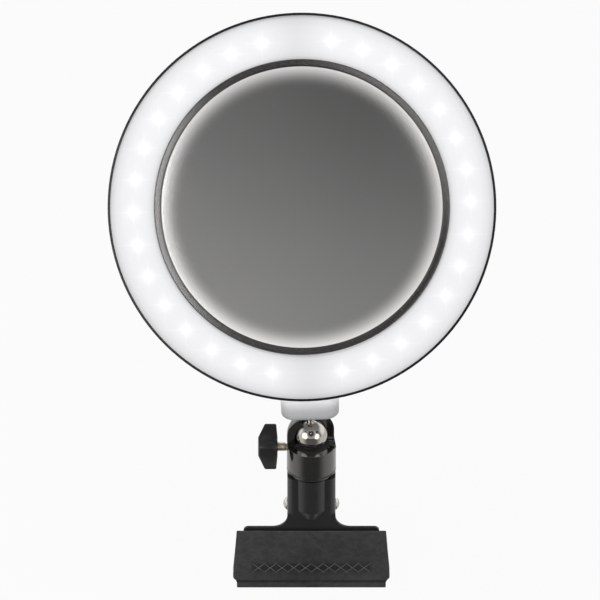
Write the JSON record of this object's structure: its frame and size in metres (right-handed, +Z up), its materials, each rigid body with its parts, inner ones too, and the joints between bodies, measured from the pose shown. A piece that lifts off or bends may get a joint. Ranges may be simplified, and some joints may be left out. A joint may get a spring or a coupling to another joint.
{
  "type": "ring light",
  "caption": "Round LED ring light with a mirror in its centre, on a small ball head and a wide spring clamp with rubber jaws.",
  "frame": {"origin": "middle of the closed jaw, where the two rubber lips meet", "axes": "+Z up along the clamp and the ball head, +X to the right as seen from the lit side, the light faces -Y"},
  "size_m": [0.2032, 0.1297, 0.3062],
  "materials": {
    "white_abs": "smooth moulded white ABS",
    "black_trim": "gloss black moulding",
    "black_bezel": "satin black moulding",
    "opal": "opal light diffuser",
    "mirror_glass": "silvered glass",
    "backing": "foam backing board",
    "board_white": "white solder mask on a circuit board",
    "board_green": "green circuit board",
    "led": "LED package",
    "foam": "foam tape",
    "reflector": "white reflector film",
    "steel": "zinc plated steel",
    "black_steel": "black painted pressed steel",
    "black_anodised": "gloss black anodised aluminium",
    "chrome": "polished chrome",
    "brass": "turned brass",
    "nylon": "black nylon",
    "black_plastic": "black moulded plastic",
    "rubber_grey": "matt dark grey rubber",
    "spring_steel": "spring wire"
  },
  "bodies": {
    "clamp_front": {"front_plate": "black_steel", "front_pad": "rubber_grey", "hinge_pin": "chrome", "pin_sleeve": "nylon", "torsion_spring": "spring_steel", "base_screw": "steel", "base_washer": "steel", "ball_housing": "black_anodised", "ball_seat": "nylon"},
    "clamp_rear": {"rear_plate": "black_steel", "rear_pad": "rubber_grey"},
    "liner": {"ball_liner": "nylon"},
    "ball": {"ball_stud": "chrome"},
    "neck": {"neck": "white_abs", "threaded_insert": "brass"},
    "ring_head": {"rear_shell": "white_abs", "hinge_ears": "white_abs", "outer_trim": "black_trim", "diffuser": "opal", "mirror_bezel": "black_bezel", "mirror": "mirror_glass", "mirror_backing": "backing", "mirror_back_cover": "white_abs", "led_board": "board_white", "leds": "led", "reflector_sheet": "reflector", "control_board": "board_green", "foam_pad": "foam", "usb_socket": "steel", "tact_switches": "black_plastic", "case_screws": "steel", "hinge_screw": "steel", "hinge_nut": "steel", "friction_washers": "nylon"},
    "power": {"power_button": "white_abs"},
    "brighter": {"brighter_button": "white_abs"},
    "dimmer": {"dimmer_button": "white_abs"},
    "shoe": {"pressure_pad": "nylon"},
    "knob": {"lock_screw": "steel", "lock_knob": "black_plastic"}
  },
  "joints": [
    {"name": "jaw_open", "type": "hinge", "parent": "clamp_front", "child": "clamp_rear", "pos_m": [0, 0, 0.0509], "axis": [1, 0, 0], "range_deg": [0, 25], "stiffness_Nm_per_rad": 0.8, "springref_deg": -51.57, "deforming": ["torsion_spring"]},
    {"name": "ball_lean", "type": "hinge", "parent": "clamp_front", "child": "liner", "pos_m": [0, 0, 0.0953], "axis": [0, 1, 0], "range_deg": [-12.7, 87.3]},
    {"name": "ball_tilt", "type": "hinge", "parent": "liner", "child": "ball", "pos_m": [0, 0, 0.0953], "axis": [1, 0, 0], "range_deg": [-10, 85]},
    {"name": "neck_turn", "type": "hinge", "parent": "ball", "child": "neck", "pos_m": [0, 0, 0.0953], "axis": [-0.0401, 0, 0.9992], "range_deg": [-180, 180]},
    {"name": "ring_tilt", "type": "hinge", "parent": "neck", "child": "ring_head", "pos_m": [-0.00121, 0, 0.12548], "axis": [-0.9992, 0, -0.0401], "range_deg": [-35, 50]},
    {"name": "pad_slide", "type": "slide", "parent": "clamp_front", "child": "shoe", "axis": [-1, 0, 0], "range_m": [0, 0.0008]},
    {"name": "knob_turn", "type": "hinge", "parent": "shoe", "child": "knob", "pos_m": [-0.0178, 0, 0.0876], "axis": [-1, 0, 0], "range_deg": [0, 360]},
    {"name": "power_press", "type": "slide", "parent": "ring_head", "child": "power", "axis": [-0.023, -0.8192, 0.5731], "range_m": [0, 0.0006], "stiffness_N_per_m": 800, "springref_m": -0.0006},
    {"name": "brighter_press", "type": "slide", "parent": "ring_head", "child": "brighter", "axis": [-0.023, -0.8192, 0.5731], "range_m": [0, 0.0006], "stiffness_N_per_m": 800, "springref_m": -0.0006},
    {"name": "dimmer_press", "type": "slide", "parent": "ring_head", "child": "dimmer", "axis": [-0.023, -0.8192, 0.5731], "range_m": [0, 0.0006], "stiffness_N_per_m": 800, "springref_m": -0.0006}
  ],
  "couplings": [
    {"joint": "knob_turn", "follows": "pad_slide", "rad_per_m": 7853}
  ]
}
